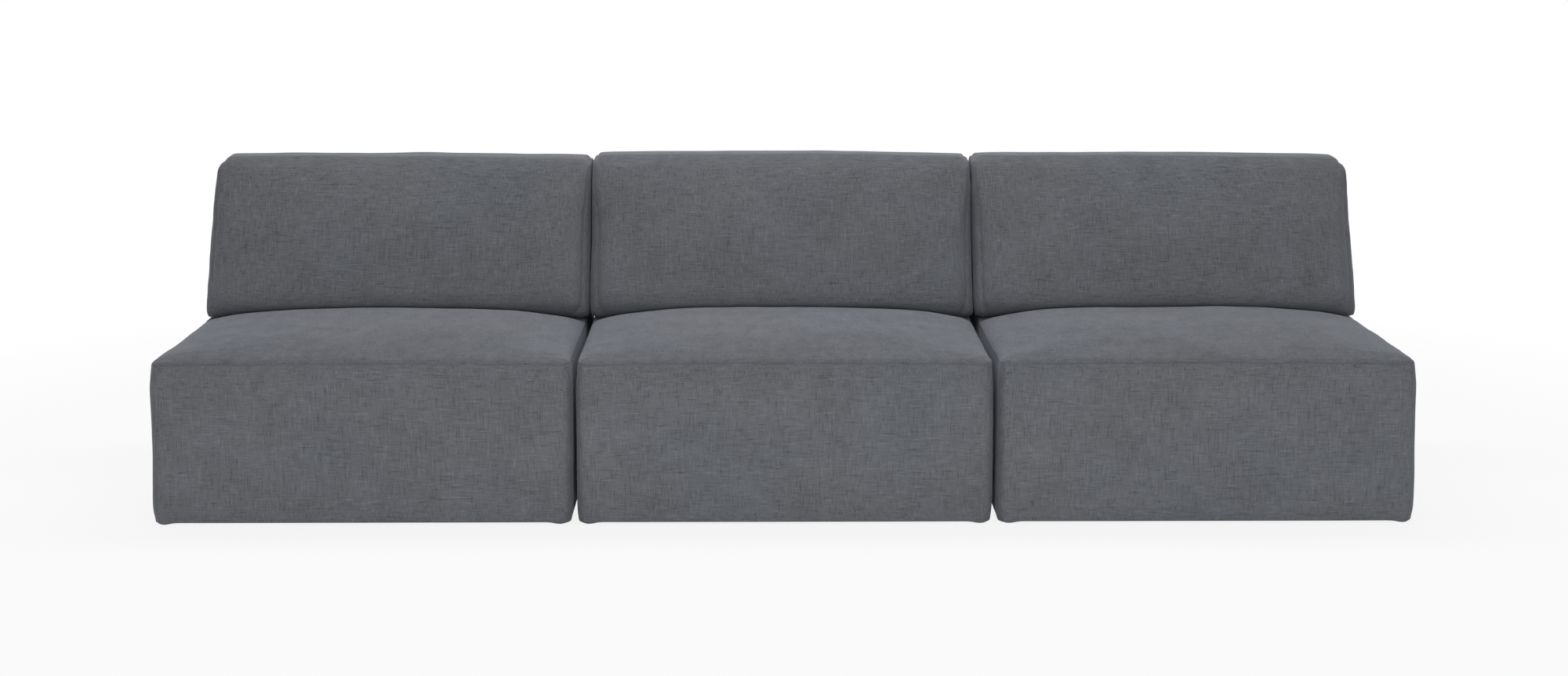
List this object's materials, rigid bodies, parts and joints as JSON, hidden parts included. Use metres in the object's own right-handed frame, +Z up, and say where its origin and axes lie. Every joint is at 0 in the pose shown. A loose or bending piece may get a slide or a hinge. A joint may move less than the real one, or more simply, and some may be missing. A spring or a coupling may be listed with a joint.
{
  "type": "armless sofa",
  "caption": "Low armless sofa of separate upholstered modules, each a crowned box base down to the floor with a wedge-shaped back that lifts off.",
  "frame": {"origin": "centre of the whole sofa's footprint, on the floor", "axes": "+X along the sofa to the right as it is faced, the seat faces -Y, +Z up"},
  "size_m": [2.874, 0.96, 0.7635],
  "materials": {
    "cover_fabric": "matte",
    "seat_foam": "matte",
    "back_foam": "matte",
    "spring_steel": "satin",
    "clip_plastic": "satin",
    "plywood": "matte",
    "block_wood": "matte",
    "glide_plastic": "satin",
    "dust_fabric": "matte",
    "link_steel": "satin",
    "webbing": "matte"
  },
  "bodies": {
    "base_left": {"left_seat_cover": "cover_fabric", "left_seat_foam": "seat_foam", "left_seat_springs": "spring_steel", "left_spring_clips": "clip_plastic", "left_side_panels": "plywood", "left_cross_panels": "plywood", "left_deck_board": "plywood", "left_corner_blocks": "block_wood", "left_glides": "glide_plastic", "left_dust_cover": "dust_fabric", "left_links": "link_steel", "left_back_sockets": "link_steel"},
    "base_middle": {"middle_seat_cover": "cover_fabric", "middle_seat_foam": "seat_foam", "middle_seat_springs": "spring_steel", "middle_spring_clips": "clip_plastic", "middle_side_panels": "plywood", "middle_cross_panels": "plywood", "middle_deck_board": "plywood", "middle_corner_blocks": "block_wood", "middle_glides": "glide_plastic", "middle_dust_cover": "dust_fabric", "middle_links": "link_steel", "middle_back_sockets": "link_steel"},
    "base_right": {"right_seat_cover": "cover_fabric", "right_seat_foam": "seat_foam", "right_seat_springs": "spring_steel", "right_spring_clips": "clip_plastic", "right_side_panels": "plywood", "right_cross_panels": "plywood", "right_deck_board": "plywood", "right_corner_blocks": "block_wood", "right_glides": "glide_plastic", "right_dust_cover": "dust_fabric", "right_links": "link_steel", "right_back_sockets": "link_steel"},
    "back_left": {"left_back_cover": "cover_fabric", "left_back_foam": "back_foam", "left_back_webbing": "webbing", "left_back_ribs": "plywood", "left_back_base_board": "plywood", "left_back_top_rail": "plywood", "left_back_panel": "plywood", "left_back_tongues": "link_steel"},
    "back_middle": {"middle_back_cover": "cover_fabric", "middle_back_foam": "back_foam", "middle_back_webbing": "webbing", "middle_back_ribs": "plywood", "middle_back_base_board": "plywood", "middle_back_top_rail": "plywood", "middle_back_panel": "plywood", "middle_back_tongues": "link_steel"},
    "back_right": {"right_back_cover": "cover_fabric", "right_back_foam": "back_foam", "right_back_webbing": "webbing", "right_back_ribs": "plywood", "right_back_base_board": "plywood", "right_back_top_rail": "plywood", "right_back_panel": "plywood", "right_back_tongues": "link_steel"}
  },
  "joints": [
    {"name": "left_module_slide", "type": "slide", "parent": "base_middle", "child": "base_left", "axis": [-1, 0, 0], "range_m": [0, 0.12]},
    {"name": "right_module_slide", "type": "slide", "parent": "base_middle", "child": "base_right", "axis": [1, 0, 0], "range_m": [0, 0.12]},
    {"name": "left_back_lift", "type": "slide", "parent": "base_left", "child": "back_left", "axis": [0, 0, 1], "range_m": [0, 0.2]},
    {"name": "middle_back_lift", "type": "slide", "parent": "base_middle", "child": "back_middle", "axis": [0, 0, 1], "range_m": [0, 0.2]},
    {"name": "right_back_lift", "type": "slide", "parent": "base_right", "child": "back_right", "axis": [0, 0, 1], "range_m": [0, 0.2]}
  ]
}
